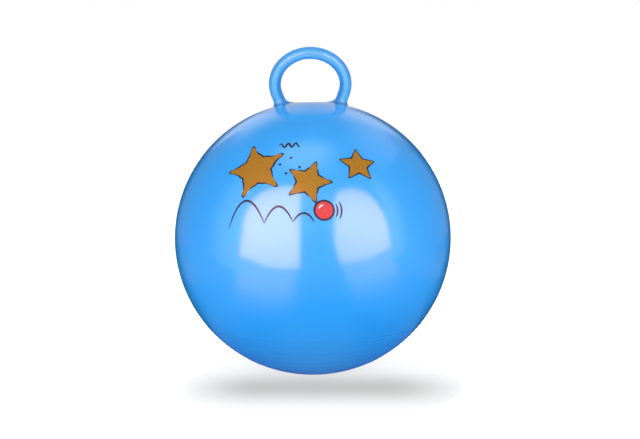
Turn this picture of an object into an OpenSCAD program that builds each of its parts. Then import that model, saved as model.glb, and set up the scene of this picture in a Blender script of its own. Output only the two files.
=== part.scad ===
// Inflatable hopper ball with a ring handle and a push-in valve plug, in millimetres.
// The flat that the ball rests on lies at z = 0. The handle's legs stand in the XZ plane, and
// bend just above the ball, so that the ring tilts to the front, -Y.

/* [Ball] */
// Width of the inflated ball
ball_w = 450; // [400:5:600]
// Height of the ball before its foot and crown are flattened
round_h = 446; // [400:2:600]
// Thickness of the ball's skin
skin_t = 1; // [0.6:0.1:2]
// Radius of the flat that the ball rests on
foot_r = 30; // [22:1:40]
// Radius where the foot's flat has blended into the round
foot_blend_r = 50; // [44:1:80]
// Radius of the flat on the crown, between the handle's legs
crown_r = 20; // [12:1:36]
// Radius where the crown's flat has blended into the round
crown_blend_r = 40; // [38:1:80]

/* [Moulding rings] */
// Number of fine moulding rings round the underside
mould_rings = 13; // [4:1:16]
// Distance from one moulding ring to the next, along the skin
mould_ring_pitch = 8; // [5:0.5:9]
// Radius of the innermost moulding ring
mould_ring_r = 102; // [90:1:130]
// Height of a moulding ring above the skin
mould_ring_h = 0.3; // [0.15:0.05:0.5]
// Width of a moulding ring where it meets the skin
mould_ring_w = 1.6; // [1.2:0.1:2.4]

/* [Ring handle] */
// Width of the ring, between the centre lines of its two sides
handle_w = 114; // [104:1:140]
// Height of the ring's widest level above the crown, along the handle before it is tilted
handle_waist_h = 32; // [28:0.5:60]
// Lean of the legs out of the upright
leg_lean = 19; // [10:1:22]
// Tilt of the ring to the front of the ball
ring_tilt = 31; // [0:1:34]
// Radius of the bend in the legs that tilts the ring
tilt_bend_r = 30; // [28:1:50]
// Outer diameter of the ring's tube
tube_d = 19.2; // [16:0.2:26]
// Wall of the ring's tube
tube_wall = 2.2; // [1.4:0.1:4]
// Radius of the hollow curve that flares the legs onto the ball
flare_r = 11; // [6:0.5:12]
// Turn of the flare away from the leg's own direction
flare_turn = 60; // [45:1:66]

/* [Valve seat] */
// Angle from the crown down the back of the ball to the valve
valve_angle = 40; // [30:1:75]
// Outer diameter of the seat's barrel
seat_d = 24; // [23:0.5:32]
// Depth of the seat, from the outside of the skin to its inner end
seat_depth = 16; // [10:0.5:24]
// Diameter of the flange that holds the seat to the inside of the skin
seat_flange_d = 40; // [36:1:60]
// Thickness of the flange
seat_flange_t = 2; // [1:0.1:4]
// Diameter of the bore that grips the plug
seat_bore_d = 8; // [6:0.1:10]
// Diameter of the thumbnail nick beside the plug's head
nick_d = 6; // [4:0.5:8]

/* [Valve plug] */
// Diameter of the plug's head
head_d = 15; // [13:0.5:18]
// Thickness of the plug's head at its middle
head_t = 2; // [1.4:0.1:3]
// Radius of the head's domed top
head_dome_r = 60; // [30:1:120]
// Length of the plug's stem below its head
stem_l = 20; // [14:0.5:30]
// Number of barbs along the stem
barbs = 3; // [2:1:5]
// Depth of the grooves between the barbs
barb_groove = 0.7; // [0.3:0.1:1.2]
// Length of the stem's tapered tip
tip_l = 4; // [2:0.5:6]
// Diameter of the stem at the end of its tip
tip_d = 5; // [3:0.1:5.5]

/* [Fits] */
// Running gap round the plug's barbs, in the seat's bore
plug_gap = 0.05; // [0.02:0.01:0.09]
// Gap round the plug's head, in its recess
head_gap = 0.3; // [0.1:0.05:0.6]

/* [Hidden] */
$fn = 96;

// Shares of a barb's pitch that its ramp and its land take up; its groove has the rest
barb_ramp_share = 0.35;
barb_land_share = 0.4;
// Number of straight bands from a blend's edge to the ball's widest level, and across a blend
side_bands = 30;
blend_bands = 5;
// Number of sides of the handle's tube, and of steps along its flares, its legs and half its ring
tube_sides = 24;
flare_steps = 5;
leg_steps = 4;
ring_steps = 14;
// Overrun of cuts past the faces that they open
overrun = 3;

ball_r = ball_w / 2;
round_r = round_h / 2;
foot_sink = blend_sink(ball_r, round_r, foot_r, foot_blend_r);
crown_sink = blend_sink(ball_r, round_r, crown_r, crown_blend_r);
ball_h = round_h - foot_sink - crown_sink;
middle_z = round_r - foot_sink;

tube_r = tube_d / 2;
tube_bore_r = tube_r - tube_wall;
ring_r = handle_w / 2;
waist_z = ball_h + handle_waist_h;
// Place on the centre line where the ring ends and the straight leg starts, and the leg's root
leg_x = ring_r * cos(leg_lean);
leg_z = waist_z - ring_r * sin(leg_lean);
leg_l = leg_reach();
root_z = leg_z - leg_l * cos(leg_lean);
flare_w = flare_r * (1 - cos(flare_turn));
flare_h = flare_r * sin(flare_turn);
flare_under = flare_r;

seat_r = seat_d / 2;
seat_out = ball_r * round_r / norm([round_r * sin(valve_angle), ball_r * cos(valve_angle)]);
seat_floor = seat_out - head_t;
head_r = head_d / 2;
barb_r = seat_bore_d / 2 - plug_gap;
groove_r = barb_r - barb_groove;
barb_pitch = (stem_l - tip_l) / barbs;

// Drop of the unflattened ball's surface below its pole, at radius r, and its slope there
function round_drop(a, b, r) = b * (1 - sqrt(1 - pow(r / a, 2)));
function round_slope(a, b, r) = b * r / (pow(a, 2) * sqrt(1 - pow(r / a, 2)));

// Depth that a flat and its blend take off the pole
function blend_sink(a, b, flat_r, blend_r) =
    round_drop(a, b, blend_r) - round_slope(a, b, blend_r) * (blend_r - flat_r) / 2;

// Depth of the surface below its flat, at radius r
function drop(a, b, r, flat_r, blend_r) =
    r <= flat_r ? 0
    : r < blend_r ? round_slope(a, b, blend_r) * pow(r - flat_r, 2) / (2 * (blend_r - flat_r))
    : round_drop(a, b, r) - blend_sink(a, b, flat_r, blend_r);

// Radii from the axis to the ball's widest level, close together where the surface turns most
function outline_radii(a, flat_r, blend_r) = concat(
    [0],
    [for (i = [0:blend_bands - 1]) flat_r + (blend_r - flat_r) * i / blend_bands],
    [for (i = [0:side_bands]) a * sin(asin(blend_r / a) + (90 - asin(blend_r / a)) * i / side_bands)]);

// Distance along a leg, from the ring down to the round of the ball
function leg_reach() =
    let (rise = leg_z - (ball_h + crown_sink - round_r),
         square_term = pow(sin(leg_lean) / ball_r, 2) + pow(cos(leg_lean) / round_r, 2),
         line_term = leg_x * sin(leg_lean) / pow(ball_r, 2) + rise * cos(leg_lean) / pow(round_r, 2),
         rest_term = pow(leg_x / ball_r, 2) + pow(rise / round_r, 2) - 1)
    (line_term - sqrt(pow(line_term, 2) - square_term * rest_term)) / square_term;

// Half section of the ball, an even inset in from its outside
module ball_outline(inset) {
    a = ball_r - inset;
    b = round_r - inset;
    low = [for (r = outline_radii(a, foot_r, foot_blend_r))
        [r, inset + drop(a, b, r, foot_r, foot_blend_r)]];
    high = [for (r = outline_radii(a, crown_r, crown_blend_r))
        if (r < a) [r, ball_h - inset - drop(a, b, r, crown_r, crown_blend_r)]];
    polygon(concat(low, [for (i = [len(high) - 1:-1:0]) high[i]]));
}

// Half sections of the moulding rings, each a low round bead on the skin
module mould_ring_outlines() {
    bead_r = (pow(mould_ring_h, 2) + pow(mould_ring_w / 2, 2)) / (2 * mould_ring_h);
    bead_depth = bead_r - mould_ring_h;
    first_turn = asin(mould_ring_r / ball_r);
    turn_step = mould_ring_pitch / ball_r * 180 / PI;
    for (i = [0:mould_rings - 1]) {
        turn = first_turn + i * turn_step;
        translate([(ball_r - bead_depth) * sin(turn), middle_z - (round_r - bead_depth) * cos(turn)])
            circle(r = bead_r, $fn = 32);
    }
}

module ball_solid() rotate_extrude() ball_outline(0);

module ball_cavity() rotate_extrude() ball_outline(skin_t);

// Puts its child at the end of each leg, with +Z up along the leg and z = 0 at the ball
module at_legs() {
    for (side = [0, 1])
        mirror([side, 0, 0])
            translate([leg_x - leg_l * sin(leg_lean), 0, root_z])
                rotate([0, leg_lean, 0])
                    children();
}

// Puts its child on the valve's axis, with +Z straight out of the ball and z = 0 at its middle
module at_valve() {
    translate([0, 0, middle_z])
        rotate([-valve_angle, 0, 0])
            children();
}

// Places along the untilted handle's centre line, from a leg's root up to the ring's top, each with
// its x, its z, the angle above the level that its section faces away at, and its outer radius
function half_stations() = concat(
    [leg_station(-flare_under, tube_r + flare_w + flare_under * tan(flare_turn))],
    [for (i = [0:flare_steps])
        let (turn = flare_turn * (1 - i / flare_steps))
        leg_station(flare_h - flare_r * sin(turn), tube_r + flare_r * (1 - cos(turn)))],
    [for (i = [1:leg_steps - 1])
        leg_station(flare_h + (leg_l - flare_h) * i / leg_steps, tube_r)],
    [for (i = [0:ring_steps])
        ring_station((90 + leg_lean) * i / ring_steps - leg_lean)]);

// A place on the straight leg, a height up along it from the round of the ball
function leg_station(height, outer_r) = [
    leg_x - (leg_l - height) * sin(leg_lean),
    leg_z - (leg_l - height) * cos(leg_lean),
    -leg_lean,
    outer_r
];

function ring_station(turn) = [ring_r * cos(turn), waist_z + ring_r * sin(turn), turn, tube_r];

// Points round one place on the centre line
function section_points(station, r) = [
    for (k = [0:tube_sides - 1])
        let (out = r * cos(360 * k / tube_sides), across = r * sin(360 * k / tube_sides))
        tilted(station[0] + out * cos(station[2]), across, station[1] + out * sin(station[2]))
];

// Where the bend in the legs takes a point of the untilted handle
function tilted(x, across, z) =
    let (rise = max(z - root_z, 0),
         turn = min(rise / tilt_bend_r * 180 / PI, ring_tilt),
         beyond = rise - turn / 180 * PI * tilt_bend_r,
         reach = tilt_bend_r + across)
    [x,
     reach * cos(turn) - tilt_bend_r - beyond * sin(turn),
     min(z, root_z) + reach * sin(turn) + beyond * cos(turn)];

// Two triangles for each side of the tube, between two rows of points that start at first and next
function band_faces(first, next) = [
    for (k = [0:tube_sides - 1])
        let (j = (k + 1) % tube_sides)
        each [[first + k, next + j, first + j], [first + k, next + k, next + j]]
];

// The handle's hollow tube in one loft, with roots that run on into the ball
module handle_tube() {
    half = half_stations();
    stations = concat(half, [for (i = [len(half) - 2:-1:0])
        [-half[i][0], half[i][1], 180 - half[i][2], half[i][3]]]);
    count = len(stations);
    skin = count * tube_sides;
    last = (count - 1) * tube_sides;
    polyhedron(
        points = concat(
            [for (station = stations) each section_points(station, station[3])],
            [for (station = stations) each section_points(station, tube_bore_r)]),
        faces = concat(
            [for (i = [0:count - 2]) each band_faces(i * tube_sides, (i + 1) * tube_sides)],
            [for (i = [0:count - 2]) each band_faces(skin + (i + 1) * tube_sides, skin + i * tube_sides)],
            band_faces(skin, 0),
            band_faces(last, skin + last)));
}

module ball_shell() {
    color([0.16, 0.55, 0.95])
        difference() {
            rotate_extrude()
                difference() {
                    union() {
                        ball_outline(0);
                        mould_ring_outlines();
                    }
                    ball_outline(skin_t);
                }
            at_legs()
                translate([0, 0, -flare_under])
                    cylinder(r = tube_bore_r, h = 2 * flare_under);
            at_valve()
                translate([0, 0, seat_out - seat_depth])
                    cylinder(r = seat_r, h = seat_depth + overrun);
        }
}

module ring_handle() {
    color([0.2, 0.6, 0.97])
        difference() {
            handle_tube();
            ball_solid();
        }
}

module valve_seat() {
    color([0.12, 0.42, 0.8])
        difference() {
            union() {
                intersection() {
                    at_valve()
                        translate([0, 0, seat_out - seat_depth])
                            cylinder(r = seat_r, h = seat_depth + overrun);
                    ball_solid();
                }
                intersection() {
                    at_valve()
                        translate([0, 0, seat_out - skin_t - seat_flange_t])
                            cylinder(d = seat_flange_d, h = seat_flange_t + overrun);
                    ball_cavity();
                }
            }
            at_valve() {
                translate([0, 0, seat_out - seat_depth - overrun])
                    cylinder(d = seat_bore_d, h = seat_depth + 2 * overrun);
                translate([0, 0, seat_floor])
                    cylinder(r = head_r + head_gap, h = head_t + overrun);
                translate([0, -head_r, seat_floor])
                    cylinder(d = nick_d, h = head_t + overrun);
            }
        }
}

module valve_plug() {
    color([0.93, 0.93, 0.91])
        at_valve()
            translate([0, 0, seat_floor]) {
                rotate_extrude()
                    intersection() {
                        square([head_r, head_t]);
                        translate([0, head_t - head_dome_r])
                            circle(r = head_dome_r, $fn = 360);
                    }
                rotate_extrude()
                    polygon(concat(
                        [[0, 0], [0, -stem_l], [tip_d / 2, -stem_l]],
                        [for (i = [0:barbs - 1]) each barb_points(tip_l - stem_l + i * barb_pitch)],
                        [[groove_r, 0]]));
            }
}

// Outline of one barb, from its foot at height z upwards
function barb_points(z) = [
    [groove_r, z],
    [barb_r, z + barb_ramp_share * barb_pitch],
    [barb_r, z + (barb_ramp_share + barb_land_share) * barb_pitch],
    [groove_r, z + (barb_ramp_share + barb_land_share) * barb_pitch]
];

ball_shell();
ring_handle();
valve_seat();
valve_plug();
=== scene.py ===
"""Looks of a hopper ball: a glossy blue vinyl ball with a ring handle, its valve and a play print."""

import math

import bmesh
import bpy
from mathutils import Matrix, Vector
from mathutils.geometry import delaunay_2d_cdt


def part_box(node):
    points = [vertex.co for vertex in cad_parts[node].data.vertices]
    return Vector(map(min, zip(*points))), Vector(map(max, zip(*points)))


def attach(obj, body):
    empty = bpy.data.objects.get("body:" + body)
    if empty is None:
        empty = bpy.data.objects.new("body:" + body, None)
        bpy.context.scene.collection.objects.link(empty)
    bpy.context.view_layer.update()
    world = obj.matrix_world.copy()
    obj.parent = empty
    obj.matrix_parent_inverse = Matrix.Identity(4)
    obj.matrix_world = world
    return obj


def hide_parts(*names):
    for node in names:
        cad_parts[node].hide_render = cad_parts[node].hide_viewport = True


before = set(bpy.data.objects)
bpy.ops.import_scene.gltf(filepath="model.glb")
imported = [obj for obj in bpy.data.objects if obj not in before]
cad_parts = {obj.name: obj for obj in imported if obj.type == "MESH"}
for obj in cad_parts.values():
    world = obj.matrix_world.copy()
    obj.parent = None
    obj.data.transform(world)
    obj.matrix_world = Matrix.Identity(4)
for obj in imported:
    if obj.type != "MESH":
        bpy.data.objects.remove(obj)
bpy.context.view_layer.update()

MM = 0.001

# The ball's round, in metres, with the flats that its weight and its handle give it, and its mesh's fineness
shell_low, shell_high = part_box("ball_shell")
BALL_R = (shell_high[0] - shell_low[0]) / 2
BALL_H = shell_high[2]
ROUND_R = 223 * MM
FOOT_FLAT, FOOT_BLEND = 30 * MM, 50 * MM
CROWN_FLAT, CROWN_BLEND = 20 * MM, 40 * MM
BALL_AROUND, BALL_STEPS = 288, 110

# Fine moulding rings round the underside. Plain rows of the mesh keep that many half widths away from them
RING_COUNT, RING_PITCH, RING_FIRST_R = 13, 8 * MM, 102 * MM
RING_H, RING_W, RING_CLEAR = 0.3 * MM, 1.6 * MM, 1.3

# The ring handle: its centre line before it is tilted, its tube, and the bend in the legs that tilts it
RING_R, HANDLE_WAIST, LEG_LEAN = 57 * MM, 32 * MM, math.radians(19)
TUBE_R, TUBE_BORE_R, FLARE_R, FLARE_TURN = 9.57 * MM, 7.4 * MM, 11 * MM, math.radians(60)
RING_TILT, TILT_BEND_R = math.radians(31), 30 * MM
# How far its roots run on under the ball's skin, and its mesh's fineness
ROOT_UNDER = 0.6 * FLARE_R
TUBE_AROUND, FLARE_STEPS, LEG_STEPS, RING_STEPS = 64, 12, 8, 48

# Painted shade in the handle's colour, deepest along its outer edge, its inner edge and its roots: how much,
# from where and full where
OUTER_EDGE_SHADE, INNER_EDGE_SHADE, ROOT_SHADE = (0.85, 0.35, 0.95), (1.0, 0.05, 0.65), (0.7, 0.02, 0.3)

# The valve, down the back of the ball
VALVE_ANGLE = math.radians(40)
VALVE_WELL_R, VALVE_WELL_DEPTH, VALVE_WELL_SIDES = 12 * MM, 45 * MM, 96

# Edges sharper than these aren't shaded as smooth
BALL_SHARP, TUBE_SHARP, INK_SHARP = math.radians(35), math.radians(50), math.radians(40)

# Places across a bead or a soft corner, as shares of its half width
ACROSS = (-1, -0.5, 0, 0.5, 1)


class Value:
    """A shader socket that takes part in sums, written as Python expressions."""

    def __init__(self, paint, socket):
        self.paint, self.socket = paint, socket

    def _math(self, operation, *terms):
        return self.paint.add("ShaderNodeMath", dict(enumerate(terms)), operation=operation)

    def __add__(self, other):
        return self._math("ADD", self, other)

    def __radd__(self, other):
        return self._math("ADD", other, self)

    def __sub__(self, other):
        return self._math("SUBTRACT", self, other)

    def __rsub__(self, other):
        return self._math("SUBTRACT", other, self)

    def __mul__(self, other):
        return self._math("MULTIPLY", self, other)

    def __rmul__(self, other):
        return self._math("MULTIPLY", other, self)

    def at_most(self, other):
        return self._math("MINIMUM", self, other)

    def at_least(self, other):
        return self._math("MAXIMUM", self, other)

    def exponent(self):
        return self._math("EXPONENT", self)

    def beside(self, output):
        """Another output of the same node."""
        return Value(self.paint, self.socket.node.outputs[output])


class Paint:
    """One material, or the world, whose nodes are all placed by add()."""

    def __init__(self, owner):
        owner.use_nodes = True
        self.owner, self.tree = owner, owner.node_tree
        self.tree.nodes.clear()

    def add(self, kind, inputs=None, out=0, **settings):
        """Places a node with its settings and inputs, and gives back one of its outputs."""
        node = self.tree.nodes.new(kind)
        for key, setting in settings.items():
            if key == "stops":
                self._set_stops(node.color_ramp, setting)
            else:
                setattr(node, key, setting)
        for key, value in (inputs or {}).items():
            if isinstance(value, Value):
                self.tree.links.new(value.socket, node.inputs[key])
            else:
                node.inputs[key].default_value = value
        return Value(self, node.outputs[out]) if len(node.outputs) else None

    def _set_stops(self, ramp, stops):
        while len(ramp.elements) < len(stops):
            ramp.elements.new(0.5)
        for element, (place, grey) in zip(ramp.elements, stops):
            element.position, element.color = place, (grey, grey, grey, 1)

    def mix(self, amount, first, second):
        return self.add("ShaderNodeMix", {0: amount, 6: first, 7: second}, out=2, data_type="RGBA")

    def smooth_step(self, value, low, high, first=0.0, last=1.0):
        """The first number below a low value, the last one above a high one, and smooth between."""
        return self.add("ShaderNodeMapRange",
                        {"Value": value, "From Min": low, "From Max": high, "To Min": first, "To Max": last},
                        interpolation_type="SMOOTHSTEP")

    def noise(self, size, detail, roughness=0.5):
        """Smooth noise from 0 to 1 whose lumps are about the given size, in metres."""
        place = self.add("ShaderNodeTexCoord", out="Object")
        return self.add("ShaderNodeTexNoise",
                        {"Vector": place, "Scale": 1 / size, "Detail": detail, "Roughness": roughness})

    def places(self, kind):
        """The first two numbers of a texture coordinate."""
        first = self.add("ShaderNodeSeparateXYZ", {0: self.add("ShaderNodeTexCoord", out=kind)})
        return first, first.beside(1)

    def finish(self, surface, **more):
        """Ends a material with its surface, and gives it back."""
        self.add("ShaderNodeOutputMaterial", {"Surface": surface, **more})
        return self.owner


def new_paint(name):
    """An empty material, ready for its nodes."""
    return Paint(bpy.data.materials.new(name))


def colour(red, green, blue):
    """A colour written as it shows on screen, 0 to 255, turned into the light it stands for."""
    shares = [c / 255 for c in (red, green, blue)]
    return (*[s / 12.92 if s <= 0.04045 else ((s + 0.055) / 1.055) ** 2.4 for s in shares], 1)


def vinyl(name, deep, pale):
    """Glossy soft vinyl: a faintly clouded blue under a smooth skin with the slightest orange peel."""
    paint = new_paint(name)
    clouds = paint.noise(90 * MM, 3)
    peel = paint.noise(5 * MM, 2)
    swell = paint.noise(70 * MM, 1)
    haze = paint.noise(30 * MM, 4, 0.6)
    height = peel * (0.004 * MM) + swell * (0.3 * MM)
    return paint.finish(paint.add("ShaderNodeBsdfPrincipled", {
        "Base Color": paint.mix(clouds, deep, pale),
        "Roughness": 0.39 + haze * 0.06,
        "IOR": 1.5,
        "Specular IOR Level": 0.46,
        "Coat Weight": 1.0,
        "Coat Roughness": 0.13,
        "Coat IOR": 1.5,
        "Normal": paint.add("ShaderNodeBump", {"Strength": 1.0, "Distance": 1.0, "Height": height}),
    }))


def clear_vinyl(name, deep, pale, depth_tint, depth_density):
    """The same vinyl, thin enough to let light through, and deeper where the tube's attribute paints shade.
    """
    paint = new_paint(name)
    # The tube's wall attribute holds painted shade: deeper blue on the tube's edges and in its roots
    edge_shade = paint.add("ShaderNodeAttribute", out="Fac", attribute_name="wall")
    edge_shade = edge_shade * (0.85 + paint.noise(30 * MM, 3) * 0.3)
    haze = paint.noise(12 * MM, 4, 0.6)
    shader = paint.add("ShaderNodeBsdfPrincipled", {
        "Base Color": paint.mix(edge_shade.at_most(1.0), pale, deep),
        "Roughness": 0.28 + haze * 0.06,
        "IOR": 1.2,
        "Transmission Weight": 0.88,
        "Coat Weight": 0.4,
        "Coat Roughness": 0.24,
        "Coat IOR": 1.5,
    })
    depth = paint.add("ShaderNodeVolumeAbsorption", {"Color": depth_tint, "Density": depth_density})
    return paint.finish(shader, Volume=depth)


def ink(name, main, worn):
    """Printing ink on the vinyl, thin in places, with the vinyl's own gloss over it."""
    paint = new_paint(name)
    grain = paint.noise(2.5 * MM, 5, 0.65)
    thin = paint.add("ShaderNodeValToRGB", {"Fac": grain}, stops=[(0.45, 0), (0.75, 1)])
    return paint.finish(paint.add("ShaderNodeBsdfPrincipled", {
        "Base Color": paint.mix(thin, main, worn),
        "Roughness": 0.38 + grain * 0.1,
        "Specular IOR Level": 0.2,
        "Coat Weight": 0.15,
        "Coat Roughness": 0.2,
    }))


def moulded_plastic(name, main, shade, roughness):
    """Plain moulded plastic with a fine grain and a little unevenness in its colour."""
    paint = new_paint(name)
    grain = paint.noise(1.2 * MM, 3)
    patches = paint.noise(9 * MM, 4, 0.6)
    height = grain * (0.04 * MM)
    return paint.finish(paint.add("ShaderNodeBsdfPrincipled", {
        "Base Color": paint.mix(patches, main, shade),
        "Roughness": roughness + grain * 0.12,
        "Normal": paint.add("ShaderNodeBump", {"Strength": 0.5, "Distance": 1.0, "Height": height}),
    }))


def mesh_piece(name, points, faces, material, smooth_below=None):
    """A smoothly shaded mesh object from points and faces, broken at edges past an angle if one is given."""
    mesh = bpy.data.meshes.new(name)
    mesh.from_pydata([tuple(p) for p in points], [], faces)
    mesh.validate()
    mesh.shade_smooth()
    if smooth_below is not None:
        mesh.set_sharp_from_angle(angle=smooth_below)
    mesh.materials.append(material)
    piece = bpy.data.objects.new(name, mesh)
    bpy.context.scene.collection.objects.link(piece)
    return piece


def tube_faces(rows, around, closed_ends):
    """Quads between rows of points, and a flat end at each end where the ends are closed."""
    faces = []
    for i in range(rows - 1):
        for k in range(around):
            j = (k + 1) % around
            faces.append((i * around + k, i * around + j, (i + 1) * around + j, (i + 1) * around + k))
    if closed_ends:
        faces.append(tuple(range(around))[::-1])
        faces.append(tuple((rows - 1) * around + k for k in range(around)))
    return faces


def round_drop(r):
    """How far the unflattened round lies from its top, at radius r from the upright axis."""
    return ROUND_R * (1 - math.sqrt(max(0.0, 1 - (r / BALL_R) ** 2)))


def round_slope(r):
    """How steeply the unflattened round falls away there."""
    return ROUND_R * r / (BALL_R ** 2 * math.sqrt(1 - (r / BALL_R) ** 2))


def blend_sink(flat, blend):
    """How far a flat of one radius, blended into the round at another, lies below the round's top."""
    return round_drop(blend) - round_slope(blend) * (blend - flat) / 2


def drop(r, flat, blend):
    """How far the ball's surface lies from a flat's level, at radius r from the upright axis."""
    if r <= flat:
        return 0.0
    if r < blend:
        return round_slope(blend) * (r - flat) ** 2 / (2 * (blend - flat))
    return round_drop(r) - blend_sink(flat, blend)


MIDDLE = Vector((0, 0, ROUND_R - blend_sink(FOOT_FLAT, FOOT_BLEND)))


def ball_profile():
    """Radius and height pairs up the ball's side, from its foot to its crown, with the moulding rings."""
    turns = [math.pi / 2 * i / BALL_STEPS for i in range(1, BALL_STEPS + 1)]
    ring_turns = [math.asin(RING_FIRST_R / BALL_R) + i * RING_PITCH / BALL_R for i in range(RING_COUNT)]
    half_ring = RING_W / 2 / BALL_R
    beads = {turn + half_ring * share: RING_H * (1 - share ** 2) for turn in ring_turns for share in ACROSS}
    plain = {turn: 0.0 for turn in turns
             if all(abs(turn - ring) > RING_CLEAR * half_ring for ring in ring_turns)}
    low = []
    for turn, rise in sorted({**plain, **beads}.items()):
        r = BALL_R * math.sin(turn)
        low.append((r + rise * math.sin(turn), drop(r, FOOT_FLAT, FOOT_BLEND) - rise * math.cos(turn)))
    high = [(BALL_R * math.sin(turn), BALL_H - drop(BALL_R * math.sin(turn), CROWN_FLAT, CROWN_BLEND))
            for turn in turns[:-1]]
    return low + high[::-1]


def make_ball(material):
    """The ball's skin, with the well that its valve sits in."""
    around = BALL_AROUND
    profile = ball_profile()
    points = [(r * math.cos(2 * math.pi * k / around), r * math.sin(2 * math.pi * k / around), z)
              for r, z in profile for k in range(around)]
    ball = mesh_piece("ball_skin", points, tube_faces(len(profile), around, True), material)
    cutter = make_valve_well()
    cut = ball.modifiers.new("valve_well", "BOOLEAN")
    cut.operation, cut.solver, cut.object = "DIFFERENCE", "EXACT", cutter
    apply_modifiers(ball)
    bpy.data.objects.remove(cutter)
    ball.data.set_sharp_from_angle(angle=BALL_SHARP)
    return ball


def make_valve_well():
    """The round bar that cuts the valve's well out of the ball."""
    out = Vector((0, math.sin(VALVE_ANGLE), math.cos(VALVE_ANGLE)))
    mesh = bpy.data.meshes.new("valve_well")
    shape = bmesh.new()
    bmesh.ops.create_cone(shape, cap_ends=True, segments=VALVE_WELL_SIDES, radius1=VALVE_WELL_R,
                          radius2=VALVE_WELL_R, depth=2 * VALVE_WELL_DEPTH)
    turn = out.to_track_quat("Z", "Y").to_matrix().to_4x4()
    shape.transform(Matrix.Translation(MIDDLE + out * BALL_R) @ turn)
    shape.to_mesh(mesh)
    shape.free()
    well = bpy.data.objects.new("valve_well", mesh)
    bpy.context.scene.collection.objects.link(well)
    return well


def apply_modifiers(piece):
    """Replaces a piece's mesh by what its modifiers make of it."""
    shaped = piece.evaluated_get(bpy.context.evaluated_depsgraph_get())
    finished = bpy.data.meshes.new_from_object(shaped)
    piece.modifiers.clear()
    piece.data = finished


def leg_top():
    """The place on the untilted centre line where the ring ends and the straight leg starts."""
    return RING_R * math.cos(LEG_LEAN), BALL_H + HANDLE_WAIST - RING_R * math.sin(LEG_LEAN)


def leg_reach():
    """Distance along a leg from the ring down to the round of the ball."""
    leg_x, leg_z = leg_top()
    rise = leg_z - (BALL_H + blend_sink(CROWN_FLAT, CROWN_BLEND) - ROUND_R)
    sine, cosine = math.sin(LEG_LEAN), math.cos(LEG_LEAN)
    square_term = (sine / BALL_R) ** 2 + (cosine / ROUND_R) ** 2
    line_term = leg_x * sine / BALL_R ** 2 + rise * cosine / ROUND_R ** 2
    rest_term = (leg_x / BALL_R) ** 2 + (rise / ROUND_R) ** 2 - 1
    return (line_term - math.sqrt(line_term ** 2 - square_term * rest_term)) / square_term


def handle_stations():
    """Places along half of the untilted centre line, from a root to the top: x, z, turn and tube radius."""
    leg_x, leg_z = leg_top()
    leg_l = leg_reach()
    flare_w = FLARE_R * (1 - math.cos(FLARE_TURN))
    flare_h = FLARE_R * math.sin(FLARE_TURN)

    def on_leg(height, radius):
        down = leg_l - height
        return leg_x - down * math.sin(LEG_LEAN), leg_z - down * math.cos(LEG_LEAN), -LEG_LEAN, radius

    stations = [on_leg(-ROOT_UNDER, TUBE_R + flare_w + ROOT_UNDER * math.tan(FLARE_TURN))]
    for i in range(FLARE_STEPS + 1):
        turn = FLARE_TURN * (1 - i / FLARE_STEPS)
        stations.append(on_leg(flare_h - FLARE_R * math.sin(turn), TUBE_R + FLARE_R * (1 - math.cos(turn))))
    stations += [on_leg(flare_h + (leg_l - flare_h) * i / LEG_STEPS, TUBE_R) for i in range(1, LEG_STEPS)]
    for i in range(RING_STEPS + 1):
        turn = (math.pi / 2 + LEG_LEAN) * i / RING_STEPS - LEG_LEAN
        height = BALL_H + HANDLE_WAIST + RING_R * math.sin(turn)
        stations.append((RING_R * math.cos(turn), height, turn, TUBE_R))
    return stations


def tilted(x, across, z):
    """Where the bend in the legs takes a point of the untilted handle."""
    root_z = leg_top()[1] - leg_reach() * math.cos(LEG_LEAN)
    rise = max(z - root_z, 0.0)
    turn = min(rise / TILT_BEND_R, RING_TILT)
    beyond = rise - turn * TILT_BEND_R
    reach = TILT_BEND_R + across
    return (x, reach * math.cos(turn) - TILT_BEND_R - beyond * math.sin(turn),
            min(z, root_z) + reach * math.sin(turn) + beyond * math.cos(turn))


def make_handle(material):
    """The ring handle's hollow tube, whose flared roots run a little way into the ball."""
    around = TUBE_AROUND
    half = handle_stations()
    outside = half + [(-x, z, math.pi - turn, r) for x, z, turn, r in half[-2::-1]]
    bore = [(x, z, turn, r - TUBE_R + TUBE_BORE_R) for x, z, turn, r in outside]
    points = []
    for x, z, turn, r in outside + bore:
        for k in range(around):
            out = r * math.cos(2 * math.pi * k / around)
            across = r * math.sin(2 * math.pi * k / around)
            points.append(tilted(x + out * math.cos(turn), across, z + out * math.sin(turn)))
    count = len(outside) * around
    last, last_bore = count - around, 2 * count - around
    faces = tube_faces(len(outside), around, False)
    faces += [tuple(count + i for i in reversed(face)) for face in faces]
    for k in range(around):
        j = (k + 1) % around
        faces.append((j, k, count + k, count + j))
        faces.append((last + k, last + j, last_bore + j, last_bore + k))
    tube = mesh_piece("handle_tube", points, faces, material, TUBE_SHARP)
    # Each point keeps how much painted shade deepens its colour: on the tube's outer and inner edges and its
    # roots
    wall = tube.data.attributes.new("wall", "FLOAT", "POINT")
    for i, place in enumerate(wall.data):
        flare = outside[i // around % len(outside)][3] / TUBE_R - 1
        place.value = painted_edge_shade(math.cos(2 * math.pi * i / around), flare)
    return tube


def painted_edge_shade(side, flare):
    """How deep the painted shade in the handle's colour is: most along its outer and inner edges, and in its
    roots.
    """
    return sum(share * ramp(value, low, high) for value, (share, low, high)
               in ((side, OUTER_EDGE_SHADE), (-side, INNER_EDGE_SHADE), (flare, ROOT_SHADE)))


def ramp(value, low, high):
    """0 below a low value, 1 above a high one, and smooth between."""
    share = min(max((value - low) / (high - low), 0.0), 1.0)
    return share * share * (3 - 2 * share)


# The print: where its middle lies on the front of the ball, how thick a layer of ink is, and at what share of
# the layers below it its underside lies
PRINT_X, PRINT_Z = -19 * MM, 103 * MM
INK_STEP, INK_SINK = 0.12 * MM, 0.5
# The grid on which a sheet of ink follows the ball, the share of a step that its points keep off the outline,
# how close points are merged, and what counts as nothing
INK_GRID, INK_MARGIN, INK_MERGE, TINY = 5 * MM, 0.3, 1e-7, 1e-12


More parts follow.
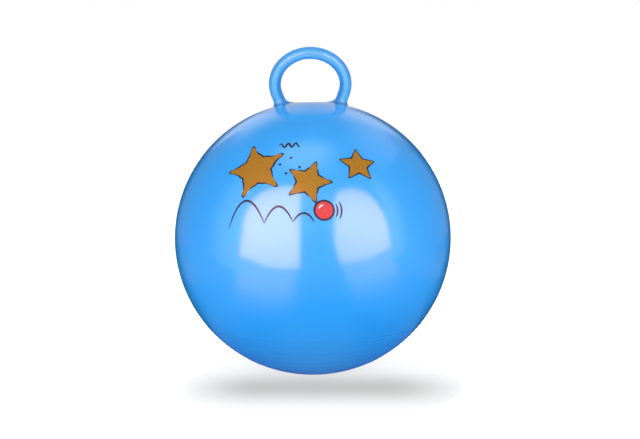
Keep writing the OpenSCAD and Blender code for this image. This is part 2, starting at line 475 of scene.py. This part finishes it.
def ball_surface(direction):
    """The place where a line from the ball's middle leaves its round."""
    x, y, z = direction.normalized()
    reach = 1 / math.sqrt((x * x + y * y) / BALL_R ** 2 + z * z / ROUND_R ** 2)
    return MIDDLE + reach * direction.normalized()


def print_frame():
    """Directions from the ball's middle: out at the print's middle, and along it to the right and up."""
    out = Vector((PRINT_X, -math.sqrt(BALL_R ** 2 - PRINT_X ** 2 - PRINT_Z ** 2), PRINT_Z)).normalized()
    right = Vector((0, 0, 1)).cross(out).normalized()
    return out, right, out.cross(right)


PRINT_OUT, PRINT_RIGHT, PRINT_UP = print_frame()


def on_ball(u, v, height):
    """A point of the print, u to the right and v up from its middle along the skin, raised by a height."""
    reach = math.hypot(u, v)
    if reach < TINY:
        direction = PRINT_OUT
    else:
        turn = reach / BALL_R
        along = (PRINT_RIGHT * u + PRINT_UP * v) / reach
        direction = PRINT_OUT * math.cos(turn) + along * math.sin(turn)
    place = ball_surface(direction)
    return place + (place - MIDDLE).normalized() * height


def ink_layer(name, outlines, material, layer):
    """A thin closed sheet of ink for each outline, laid on the ball's round and the layers below it."""
    points, faces = [], []
    for outline in outlines:
        flat, triangles = fill_outline(outline)
        count = len(flat)
        base = len(points)
        points += [on_ball(u, v, (layer + 1) * INK_STEP) for u, v in flat]
        points += [on_ball(u, v, layer * INK_STEP * INK_SINK) for u, v in flat]
        edges = set()
        for a, b, c in triangles:
            faces.append((base + a, base + b, base + c))
            faces.append((base + count + c, base + count + b, base + count + a))
            edges |= {(a, b), (b, c), (c, a)}
        for a, b in sorted(edges):
            if (b, a) not in edges:
                faces.append((base + b, base + a, base + count + a, base + count + b))
    return mesh_piece(name, points, faces, material, INK_SHARP)


def fill_outline(outline):
    """Triangles inside a closed outline, small enough to follow the ball, turned to face outwards."""
    low_u, high_u = min(u for u, v in outline), max(u for u, v in outline)
    low_v, high_v = min(v for u, v in outline), max(v for u, v in outline)
    grid = [(low_u + INK_GRID * i, low_v + INK_GRID * j)
            for i in range(1, int((high_u - low_u) / INK_GRID) + 1)
            for j in range(1, int((high_v - low_v) / INK_GRID) + 1)]
    inner = [Vector(place) for place in grid if inside(outline, *place, INK_MARGIN * INK_GRID)]
    rim = [Vector(place) for place in outline]
    only_inside = 1
    found = delaunay_2d_cdt(rim + inner, [], [list(range(len(rim)))], only_inside, INK_MERGE)
    flat, triangles = found[0], found[2]
    turned = []
    for a, b, c in triangles:
        area = (flat[b] - flat[a]).cross(flat[c] - flat[a])
        turned.append((a, b, c) if area > 0 else (a, c, b))
    return [tuple(p) for p in flat], turned


def inside(outline, u, v, margin):
    """Whether a point lies inside a closed outline and clear of its edge by a margin."""
    within = False
    for (u1, v1), (u2, v2) in zip(outline, outline[1:] + outline[:1]):
        if (v1 > v) != (v2 > v) and u < (u2 - u1) * (v - v1) / (v2 - v1) + u1:
            within = not within
        square = max((u2 - u1) ** 2 + (v2 - v1) ** 2, TINY)
        along = max(0.0, min(1.0, ((u - u1) * (u2 - u1) + (v - v1) * (v2 - v1)) / square))
        if math.hypot(u - u1 - along * (u2 - u1), v - v1 - along * (v2 - v1)) < margin:
            return False
    return within


# How many tips a star has, and for a tip and a notch: its share of the star's reach, half the angle it is
# rounded over, and by what share it bends outwards at the ends of that angle
STAR_TIPS = 5
STAR_TIP, STAR_NOTCH = (1.0, 0.06, -0.06), (0.5, 0.10, 0.05)
# Stars of the print: place from its middle, reach of the tips and tilt
STARS = [(-68 * MM, 26 * MM, 46 * MM, 0.2), (14 * MM, 0, 33 * MM, -0.3), (88 * MM, 36 * MM, 27 * MM, 0.14)]
OUTLINE_W = 3.0 * MM
# The hops of the bouncing ball: from, to, level and rise, each smaller than the last
HOPS = [(-112 * MM, -52 * MM, -62 * MM, 38 * MM), (-52 * MM, -8 * MM, -62 * MM, 24 * MM),
        (-8 * MM, 24 * MM, -62 * MM, 13 * MM)]
# The bouncing ball: its place and radius, its glint, and the radii and ends of the lines that show its speed
BALL_DOT = (38 * MM, -44 * MM, 13 * MM)
GLINT_R, GLINT_W, GLINT_TURNS = 0.62 * BALL_DOT[2], 2.4 * MM, (100, 165)
SPEED_RADII, SPEED_W, SPEED_TURNS = (20 * MM, 26 * MM), 2.8 * MM, (-28, 34)
# Dots among the stars
DOTS = [(-30 * MM, 30 * MM), (-14 * MM, 41 * MM), (-20 * MM, 14 * MM), (0, 24 * MM), (4 * MM, 2 * MM)]
DOT_R, DOT_SIDES, DISC_SIDES = 2.1 * MM, 14, 28
# The squiggle over them: its start, its points at every millimetre, how high it waves, and its turn from each
# point to the next
SQUIGGLE_U, SQUIGGLE_V, SQUIGGLE_POINTS, SQUIGGLE_WAVE, SQUIGGLE_TURN = -34 * MM, 66 * MM, 34, 4 * MM, 0.55
# Brush strokes: their width, the share of it that is left at their ends, and steps along a curve
STROKE_W, STROKE_TAIL, CURVE_STEPS = 3.4 * MM, 0.25, 16


def star(u, v, reach, tilt, grow=0.0):
    """A star with soft tips and notches, grown outwards on all sides by an amount."""
    outline = []
    for i in range(2 * STAR_TIPS):
        turn = tilt + math.pi / 2 + math.pi * i / STAR_TIPS
        size, spread, softening = STAR_NOTCH if i % 2 else STAR_TIP
        for share in ACROSS:
            out = size * reach * (1 + softening * share ** 2) + grow
            at = turn + share * spread
            outline.append((u + out * math.cos(at), v + out * math.sin(at)))
    return outline


def disc(u, v, r, sides=DISC_SIDES):
    """A round outline, made of so many straight sides."""
    return [(u + r * math.cos(2 * math.pi * i / sides), v + r * math.sin(2 * math.pi * i / sides))
            for i in range(sides)]


def stroke(path, width):
    """The outline of a brush stroke along a path, narrowing towards both ends."""
    left, right = [], []
    for i, (u, v) in enumerate(path):
        u1, v1 = path[max(i - 1, 0)]
        u2, v2 = path[min(i + 1, len(path) - 1)]
        length = math.hypot(u2 - u1, v2 - v1)
        share = i / (len(path) - 1)
        half = width / 2 * (STROKE_TAIL + (1 - STROKE_TAIL) * math.sin(math.pi * share) ** 0.5)
        across = (-(v2 - v1) / length * half, (u2 - u1) / length * half)
        left.append((u + across[0], v + across[1]))
        right.append((u - across[0], v - across[1]))
    return right + left[::-1]


def arc_path(r, first, last):
    """Points along an arc round the bouncing ball's middle, between two angles in degrees."""
    u, v = BALL_DOT[:2]
    turns = [math.radians(first + (last - first) * i / CURVE_STEPS) for i in range(CURVE_STEPS + 1)]
    return [(u + r * math.cos(t), v + r * math.sin(t)) for t in turns]


def hop_path(u1, u2, v, rise):
    """Points along one hop of the bouncing ball, from u1 to u2 at level v."""
    shares = [i / CURVE_STEPS for i in range(CURVE_STEPS + 1)]
    return [(u1 + (u2 - u1) * share, v + rise * (1 - (2 * share - 1) ** 2)) for share in shares]


def squiggle_path():
    """Points along the squiggle, from left to right."""
    return [(SQUIGGLE_U + i * MM, SQUIGGLE_V + SQUIGGLE_WAVE * math.sin(i * SQUIGGLE_TURN))
            for i in range(SQUIGGLE_POINTS)]


def make_print(outline_ink, ochre_ink, red_ink, white_ink):
    """A play print: three stars, and a small red ball that hops along under them."""
    dark = [star(u, v, reach, tilt, OUTLINE_W) for u, v, reach, tilt in STARS]
    dark.append(disc(*BALL_DOT[:2], BALL_DOT[2] + OUTLINE_W))
    dark += [stroke(hop_path(*hop), STROKE_W) for hop in HOPS]
    dark += [disc(u, v, DOT_R, DOT_SIDES) for u, v in DOTS]
    dark += [stroke(arc_path(r, *SPEED_TURNS), SPEED_W) for r in SPEED_RADII]
    dark.append(stroke(squiggle_path(), STROKE_W))
    ochre = [star(u, v, reach, tilt) for u, v, reach, tilt in STARS]
    red = [disc(*BALL_DOT)]
    white = [stroke(arc_path(GLINT_R, *GLINT_TURNS), GLINT_W)]
    return [ink_layer("print_outlines", dark, outline_ink, 0), ink_layer("print_stars", ochre, ochre_ink, 1),
            ink_layer("print_red_ball", red, red_ink, 1), ink_layer("print_glint", white, white_ink, 2)]


# Studio: a white floor and surroundings, two tall softboxes in front, and cards that only show as reflections

# Tints of the softboxes and the cards, which their strengths multiply
BOX_TINT, NEUTRAL, COOL = (1.0, 0.545, 0.55), (1, 1, 1), (0.88, 0.92, 1.1)
FLOOR_COOL, FOOT_TINT = (0.5, 0.95, 2.7), (0.6, 0.95, 1.0)

# The floor: what of the shadow lamp it shows, its own white, and the darker white of the shadow painted into
# it
FLOOR_HALF, FLOOR_UNDER = 12.0, 0.2 * MM
FLOOR_SHADOWED, FLOOR_GLOW = (0.16, 0.16, 0.16, 1), (0.945, 0.94, 0.92, 1)
FLOOR_PAINTED_SHADOW = (0.495, 0.475, 0.43, 1)
# What lights the ball from the floor and from all round
FLOOR_BOUNCE, FLOOR_LIT = (0.25, 0.25, 0.25, 1), (0.24, 0.395, 0.54, 1)
AMBIENT = (0.56, 0.655, 0.75, 1)
# The painted shadow: an oval before the ball, and a round one under it. Their sizes reach to where they are
# half as deep
SHADE_MIDDLE, SHADE_SLANT = (0.012, -0.136), 0.08
SHADE_HALF_W, SHADE_FADE, SHADE_HALF_D = 0.182, 0.082, 0.086
FOOT_SHADE_Y, FOOT_SHADE_R = 0.055, 0.055

# The lamp that throws the shadow, and the point at which the two soft lamps aim
SHADOW_POWER, SHADOW_SPREAD, SHADOW_AIM = 8.0, math.radians(6), (0.05, -0.5, -1)
LAMP_TARGET = (0, 0, 0.22)

# The room that the flats make: half its width, its front, its back and its ceiling
ROOM_X, ROOM_FRONT, ROOM_BACK, ROOM_TOP = 1.9, -2.4, 3.6, 2.0
# For each side: its sign and name, how high its dark flag is, and how bright its flat
SIDES = [(-1, "left", 1.3, 0.22), (1, "right", 1.5, 0.27)]
# Where the flags stand, from the middle outwards, and where the paler ground before the flats starts
FLAG_Y, FLAG_IN_X, FLAG_OUT_X, GROUND_IN_X = 1.9, 0.25, 1.6, 0.48
# Heights of the cards that lie one over the other on the floor
GROUND_Z, SHEEN_Z, FOOT_GLOW_Z = 0.5 * MM, 1 * MM, 2 * MM
# How bright the mirrored floor is, how much brighter the ground is than its flat, and how bright a sheen is
FLOOR_LEVEL, GROUND_EXTRA, SHEEN_LEVEL = 0.12, 0.05, 2.2
# How high the skirts under the softboxes and the halos beside them are
SKIRT_H, HALO_H = 0.07, 1.7

# The apron is a half ring, level with the windows that the softboxes make in the ball's front
APRON_Z, APRON_IN_R, APRON_OUT_R = 0.28, 0.22, 1.6
APRON_FROM, APRON_TO, APRON_STEPS = math.radians(-200), math.radians(20), 48

# A softbox is brightest at a share of its height, and dims with the square of the distance from it
BOX_BRIGHT_AT, BOX_DIMMING = 0.49, 1.64
# Softboxes: their strength, the floor line they stand over, and their outline as places along it, heights and
# fades
LEFT_BOX_LIGHT, RIGHT_BOX_LIGHT = 11.7, 10.1
LEFT_BOX_FOOT = (-0.09, -0.62), (-0.70, -0.44)
LEFT_BOX = [(0.0, 0.045, 0.06), (0.27, 0.055, 0.06), (0.61, 0.052, 0.3), (0.58, 0.24, 0.5), (0.58, 0.48, 0.5),
            (0.50, 0.68, 0.4), (0.38, 0.78, 0.3), (0.18, 0.80, 0.12), (-0.02, 0.80, 0.12), (-0.02, 0.4, 0.16)]
RIGHT_BOX_FOOT = (0.238, -0.75), (1.04, -0.56)
RIGHT_BOX = [(0.0, 0.035, 0.06), (0.36, 0.050, 0.06), (0.84, 0.048, 0.3), (0.80, 0.25, 0.4),
             (0.77, 0.48, 0.4), (0.66, 0.72, 0.35), (0.50, 0.91, 0.2), (0.26, 0.94, 0.1), (0.05, 0.86, 0.1),
             (-0.075, 0.60, 0.12), (-0.08, 0.3, 0.12)]


def ray_seen(paint):
    """1 for what the camera sees, mirrored or through the handle too, and 0 for light that is scattered."""
    ray = paint.add("ShaderNodeLightPath", out="Is Camera Ray")
    return (ray + ray.beside("Is Glossy Ray") + ray.beside("Is Transmission Ray")).at_most(1.0)


def falloff(square, half):
    """1 where a squared distance is 0, and half of that where it is the square of the given distance."""
    return (square * (-math.log(2) / half ** 2)).exponent()


def floor_white_and_painted_shadow(paint):
    """The floor's own white, with a shadow painted in: a long oval before the ball and a round one at its
    foot.
    """
    across, depth = paint.places("Object")
    # Where the shadow is painted: an oval before the ball and a round one at its foot
    offset = across - SHADE_MIDDLE[0]
    along = depth - SHADE_MIDDLE[1] + offset * SHADE_SLANT
    sideways = offset.at_least(0 - offset)
    wide = paint.smooth_step(sideways, SHADE_HALF_W - SHADE_FADE, SHADE_HALF_W + SHADE_FADE, 1.0, 0.0)
    oval = wide * falloff(along * along, SHADE_HALF_D)
    back = depth - FOOT_SHADE_Y
    foot = falloff(across * across + back * back, FOOT_SHADE_R)
    return paint.mix(1 - (1 - oval) * (1 - foot), FLOOR_GLOW, FLOOR_PAINTED_SHADOW)


def make_floor():
    """A white floor whose shadow is partly cast and partly painted: to the camera most of its white is its
    own.
    """
    paint = new_paint("studio_floor")
    shown = paint.add("ShaderNodeBsdfDiffuse", {"Color": FLOOR_SHADOWED})
    # The floor's own white, with the painted shadow in it
    glow = paint.add("ShaderNodeEmission", {"Color": floor_white_and_painted_shadow(paint)})
    cloth = paint.add("ShaderNodeBsdfDiffuse", {"Color": FLOOR_BOUNCE})
    lit = paint.add("ShaderNodeEmission", {"Color": FLOOR_LIT})
    white = paint.add("ShaderNodeAddShader", {0: shown, 1: glow})
    bounce = paint.add("ShaderNodeAddShader", {0: cloth, 1: lit})
    paint.finish(paint.add("ShaderNodeMixShader", {0: ray_seen(paint), 1: bounce, 2: white}))
    corners = level(-FLOOR_HALF, -FLOOR_HALF, FLOOR_HALF, FLOOR_HALF, -FLOOR_UNDER)
    floor = mesh_piece("studio_floor", corners, [(0, 1, 2, 3)], paint.owner)
    return floor


def shine(paint, shape, tint, strength):
    """Ends a card's material, which shines where its shape is 1 and is clear where it is 0.

    It is clear through the handle too. Rays through the handle's rough wall count as mirrored ones as well,
    and a card that is only hidden from transmission would show to them.
    """
    shape = shape * (1 - paint.add("ShaderNodeLightPath", out="Is Transmission Ray"))
    glow = paint.add("ShaderNodeEmission", {"Color": (*tint, 1), "Strength": strength})
    clear = paint.add("ShaderNodeBsdfTransparent")
    return paint.finish(paint.add("ShaderNodeMixShader", {0: shape, 1: clear, 2: glow}))


def stage_card(name, points, faces, material, places=None):
    """A card that only shows as a reflection, with its points' places on it where they are given."""
    card = mesh_piece(name, points, faces, material)
    if places:
        layer = card.data.uv_layers.new()
        for corner, loop in zip(layer.data, card.data.loops):
            corner.uv = places[loop.vertex_index]
    card.visible_camera = card.visible_diffuse = card.visible_shadow = card.visible_transmission = False


def make_card(name, corners, tint, strength, soft=(0, 0, 0, 0)):
    """A four-sided card. Its edges fade over shares of its width and height: start, end, foot and top."""
    paint = new_paint(name)
    along, up = paint.places("UV")
    shape = 1.0
    for place, width in ((along, soft[0]), (1 - along, soft[1]), (up, soft[2]), (1 - up, soft[3])):
        if width:
            shape = paint.smooth_step(place, 0.0, width) * shape
    material = shine(paint, shape, tint, strength)
    stage_card(name, corners, [(0, 1, 2, 3)], material, [(0, 0), (1, 0), (1, 1), (0, 1)])


def make_softbox(name, foot_from, foot_to, outline, strength):
    """A softbox that stands over a floor line, with an outline of places along it, heights and fades.

    A fade is the share of the way to the box's middle over which its light comes up at that corner.
    """
    (x1, y1), (x2, y2) = foot_from, foot_to
    length = math.hypot(x2 - x1, y2 - y1)
    middle = [sum(corner[axis] for corner in outline) / len(outline) for axis in (0, 1)]
    low, high = min(corner[1] for corner in outline), max(corner[1] for corner in outline)
    flat = [(along, up) for along, up, fade in outline]
    flat += [(along + (middle[0] - along) * fade, up + (middle[1] - up) * fade)
             for along, up, fade in outline]
    points = [(x1 + (x2 - x1) * along / length, y1 + (y2 - y1) * along / length, up) for along, up in flat]
    count = len(outline)
    faces = [(i, (i + 1) % count, count + (i + 1) % count, count + i) for i in range(count)]
    faces.append(tuple(range(count, 2 * count)))
    places = [(0.0 if i < count else 1.0, (up - low) / (high - low)) for i, (along, up) in enumerate(flat)]

    paint = new_paint(name)
    inwards, height = paint.places("UV")
    off = height - BOX_BRIGHT_AT
    shape = paint.smooth_step(inwards, 0.0, 1.0)
    material = shine(paint, shape, BOX_TINT, (1 - off * off * BOX_DIMMING) * strength)
    stage_card(name, points, faces, material, places)


def make_apron():
    """A card round the ball's front that shows from above alone, and keeps the softboxes off the crown."""
    turns = [APRON_FROM + (APRON_TO - APRON_FROM) * i / APRON_STEPS for i in range(APRON_STEPS + 1)]
    points = [(r * math.cos(turn), r * math.sin(turn), APRON_Z)
              for turn in turns for r in (APRON_IN_R, APRON_OUT_R)]
    faces = [(2 * i, 2 * i + 1, 2 * i + 3, 2 * i + 2) for i in range(APRON_STEPS)]
    paint = new_paint("apron")
    from_above = 1 - paint.add("ShaderNodeNewGeometry", out="Backfacing")
    stage_card("apron", points, faces, shine(paint, from_above, FLOOR_COOL, FLOOR_LEVEL))


def upright(foot_from, foot_to, low, high):
    """Corners of an upright card that stands over the line between two floor points."""
    return [(*foot_from, low), (*foot_to, low), (*foot_to, high), (*foot_from, high)]


def level(x1, y1, x2, y2, z):
    """Corners of a level card that lies between two opposite corners."""
    return [(x1, y1, z), (x2, y1, z), (x2, y2, z), (x1, y2, z)]


def on_floor(*places):
    """Corners of a card that lies just over the ground."""
    return [(x, y, SHEEN_Z) for x, y in places]


def facing(direction):
    """The turn that aims a lamp along a direction."""
    return Vector(direction).to_track_quat("-Z", "Y").to_euler()


def make_lamp(name, place, size, power):
    """A soft square lamp that lights the matt part of a surface and doesn't show in its gloss."""
    light = bpy.data.lights.new(name, "AREA")
    light.shape, light.size, light.energy = "SQUARE", size, power
    lamp = bpy.data.objects.new(name, light)
    lamp.location = place
    lamp.rotation_euler = facing(Vector(LAMP_TARGET) - Vector(place))
    lamp.visible_glossy = False
    bpy.context.scene.collection.objects.link(lamp)


def make_shadow_lamp(floor):
    """A wide lamp behind and above that lights the floor alone, so that the ball's shadow falls forwards."""
    light = bpy.data.lights.new("shadow_lamp", "SUN")
    light.energy, light.angle = SHADOW_POWER, SHADOW_SPREAD
    lamp = bpy.data.objects.new("shadow_lamp", light)
    lamp.rotation_euler = facing(SHADOW_AIM)
    lit = bpy.data.collections.new("floor_light")
    lit.objects.link(floor)
    lamp.light_linking.receiver_collection = lit
    bpy.context.scene.collection.objects.link(lamp)


def make_world():
    """White all round to the camera, and a plain cool level of light on the object."""
    world = bpy.data.worlds.new("studio")
    bpy.context.scene.world = world
    paint = Paint(world)
    around = paint.mix(ray_seen(paint), AMBIENT, (*NEUTRAL, 1))
    background = paint.add("ShaderNodeBackground", {"Color": around, "Strength": 1.0})
    paint.add("ShaderNodeOutputWorld", {"Surface": background})


def make_front():
    """The softboxes, what lies under and beside them, and the dark front of the room."""
    make_softbox("left_softbox", *LEFT_BOX_FOOT, LEFT_BOX, LEFT_BOX_LIGHT)
    make_softbox("right_softbox", *RIGHT_BOX_FOOT, RIGHT_BOX, RIGHT_BOX_LIGHT)
    make_card("left_skirt", upright((-0.09, -0.63), (-0.70, -0.45), 0.0, SKIRT_H), BOX_TINT, 2.2,
              (0.1, 0.3, 0, 0))
    make_card("right_skirt", upright((0.238, -0.76), (1.04, -0.57), 0.0, SKIRT_H), BOX_TINT, 2.6,
              (0.1, 0.2, 0, 0))
    make_card("left_halo", upright((-0.50, -0.44), (-1.88, -0.03), 0.0, HALO_H), NEUTRAL, 1.2,
              (0.05, 1.0, 0, 0.5))
    make_card("right_halo", upright((0.85, -0.56), (1.88, -0.32), 0.0, HALO_H), NEUTRAL, 1.5,
              (0.05, 1.0, 0, 0.5))
    make_card("middle_halo", upright((-0.12, -0.66), (0.27, -0.77), 0.2, 0.85), NEUTRAL, 0.44,
              (0.2, 0.2, 0.5, 0.2))
    make_card("front_dark", upright((-3, ROOM_FRONT), (3, ROOM_FRONT), 0.0, 2.4), NEUTRAL, 0.05)
    make_card("grey_floor", level(-ROOM_X, ROOM_FRONT, ROOM_X, ROOM_BACK, 0), FLOOR_COOL, FLOOR_LEVEL)
    make_card("left_sheen", on_floor((-0.04, -0.22), (-0.33, -0.14), (-0.68, -0.44), (-0.09, -0.62)),
              BOX_TINT, SHEEN_LEVEL, (0.1, 0.3, 0.7, 0))
    make_card("right_sheen", on_floor((0.09, -0.23), (0.42, -0.13), (1.02, -0.55), (0.238, -0.75)),
              BOX_TINT, SHEEN_LEVEL, (0.1, 0.25, 0.7, 0))


def make_side(side, name, flag_h, grey):
    """One side of the room: a grey flat, paler ground before it, and a flag that darkens the ball's rim."""
    make_card(name + "_flat", upright((side * ROOM_X, ROOM_FRONT), (side * ROOM_X, ROOM_BACK), 0.0, 3.4),
              COOL, grey, (0, 0.05, 0, 0.4))
    make_card(name + "_ground", level(side * GROUND_IN_X, ROOM_FRONT, side * ROOM_X, FLAG_Y, GROUND_Z),
              COOL, grey + GROUND_EXTRA, (0.1, 0, 0, 0.5))
    flag_in, flag_out = (side * FLAG_IN_X, FLAG_Y), (side * FLAG_OUT_X, FLAG_Y)
    make_card(name + "_flag", upright(flag_in, flag_out, 0.0, flag_h), NEUTRAL, 0.0, (0.1, 0.4, 0, 0.4))
    make_card(name + "_flag_foot", on_floor((side * 0.10, 0.16), (side * 0.44, 0.02), flag_out, flag_in),
              NEUTRAL, 0.0, (0.1, 0.4, 0, 0))


def make_back_and_top():
    """The back of the room, its ceiling with a soft light in it, and a glow round the ball's foot."""
    make_card("back_grey", upright((-0.75, 2.0), (0.75, 2.0), 0.5, 3.6), NEUTRAL, 0.6, (0.4, 0.4, 0.1, 0.1))
    make_card("back_flag", upright((-0.3, 1.95), (0.3, 1.95), 0.0, 0.75), NEUTRAL, 0.0, (0, 0, 0, 0.3))
    make_card("ceiling", level(-ROOM_X, ROOM_FRONT, ROOM_X, 1.8, ROOM_TOP), NEUTRAL, 0.22,
              (0.2, 0.2, 0, 0.25))
    make_card("top_softbox", level(-1.0, -1.2, 0.7, 0.1, 1.9), NEUTRAL, 2.2, (0.4, 0.4, 0.4, 0.4))
    make_card("top_right_glow", level(0.4, -0.6, 1.88, 1.9, 1.88), NEUTRAL, 0.75, (0.4, 0.1, 0.4, 0.3))
    make_card("foot_glow", level(-0.16, -0.30, 0.16, -0.04, FOOT_GLOW_Z), FOOT_TINT, 0.42,
              (0.4, 0.4, 0.4, 0.5))


def make_studio():
    """The studio that lights the ball and that it reflects."""
    make_world()
    make_shadow_lamp(make_floor())
    make_front()
    for side in SIDES:
        make_side(*side)
    make_back_and_top()
    make_apron()
    make_lamp("front_lamp", (0, -2.3, 1.7), 1.6, 15)
    make_lamp("top_lamp", (0, -0.5, 2.4), 1.4, 3.5)


# Camera: how far off, how high it looks from, and where the ball's middle falls in the photograph
CAMERA_REACH = 2.0
CAMERA_LIFT = math.radians(5.5)
CAMERA_ROLL = math.radians(-1.0)
PHOTO_W, PHOTO_H = 640, 439
BALL_PX, BALL_MIDDLE_PX = 138.0, (312.6, 237.6)
SENSOR, VIEW_END = 36.0, 60


def make_camera():
    """The camera that the photograph was taken with, as far as the ball's place and size in it tell."""
    camera_data = bpy.data.cameras.new("camera")
    camera = bpy.data.objects.new("camera", camera_data)
    bpy.context.scene.collection.objects.link(camera)
    focal_px = BALL_PX * math.sqrt(CAMERA_REACH ** 2 - BALL_R ** 2) / BALL_R
    camera_data.sensor_width = SENSOR
    camera_data.lens = focal_px / PHOTO_W * SENSOR
    camera_data.clip_end = VIEW_END
    place = MIDDLE + CAMERA_REACH * Vector((0, -math.cos(CAMERA_LIFT), math.sin(CAMERA_LIFT)))
    aim = (MIDDLE - place).to_track_quat("-Z", "Y").to_matrix()
    across = (PHOTO_W / 2 - BALL_MIDDLE_PX[0]) / focal_px
    above = (BALL_MIDDLE_PX[1] - PHOTO_H / 2) / focal_px
    turn = Matrix.Rotation(-math.atan(across), 3, "Y") @ Matrix.Rotation(math.atan(above), 3, "X")
    roll = Matrix.Rotation(CAMERA_ROLL, 3, "Z")
    camera.matrix_world = Matrix.Translation(place) @ (aim @ turn @ roll).to_4x4()
    bpy.context.scene.camera = camera


def dress():
    """Makes each visible piece and gives each node that stays its finish."""
    blue = vinyl("ball_vinyl", colour(4, 164, 246), colour(8, 169, 249))
    handle_blue = clear_vinyl("handle_vinyl", colour(140, 206, 242), colour(224, 245, 255),
                              (0.08, 0.78, 0.992, 1), 300)
    ball = make_ball(blue)
    handle = make_handle(handle_blue)
    prints = make_print(ink("outline_ink", colour(14, 22, 38), colour(30, 44, 70)),
                        ink("ochre_ink", colour(178, 114, 4), colour(190, 132, 24)),
                        ink("red_ink", colour(228, 54, 56), colour(238, 84, 82)),
                        ink("white_ink", colour(245, 244, 240), colour(228, 232, 240)))
    for piece in [ball, handle, *prints]:
        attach(piece, "body")
    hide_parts("ball_shell")
    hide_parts("ring_handle")
    seat_rubber = moulded_plastic("seat_vinyl", colour(14, 142, 226), colour(10, 128, 208), 0.35)
    plug_plastic = moulded_plastic("plug_plastic", colour(240, 240, 236), colour(222, 221, 214), 0.4)
    for node, finish in (("valve_seat", seat_rubber), ("valve_plug", plug_plastic)):
        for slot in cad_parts[node].material_slots:
            slot.material = finish


make_camera()
dress()
make_studio()
bpy.context.scene.view_settings.view_transform = "Standard"
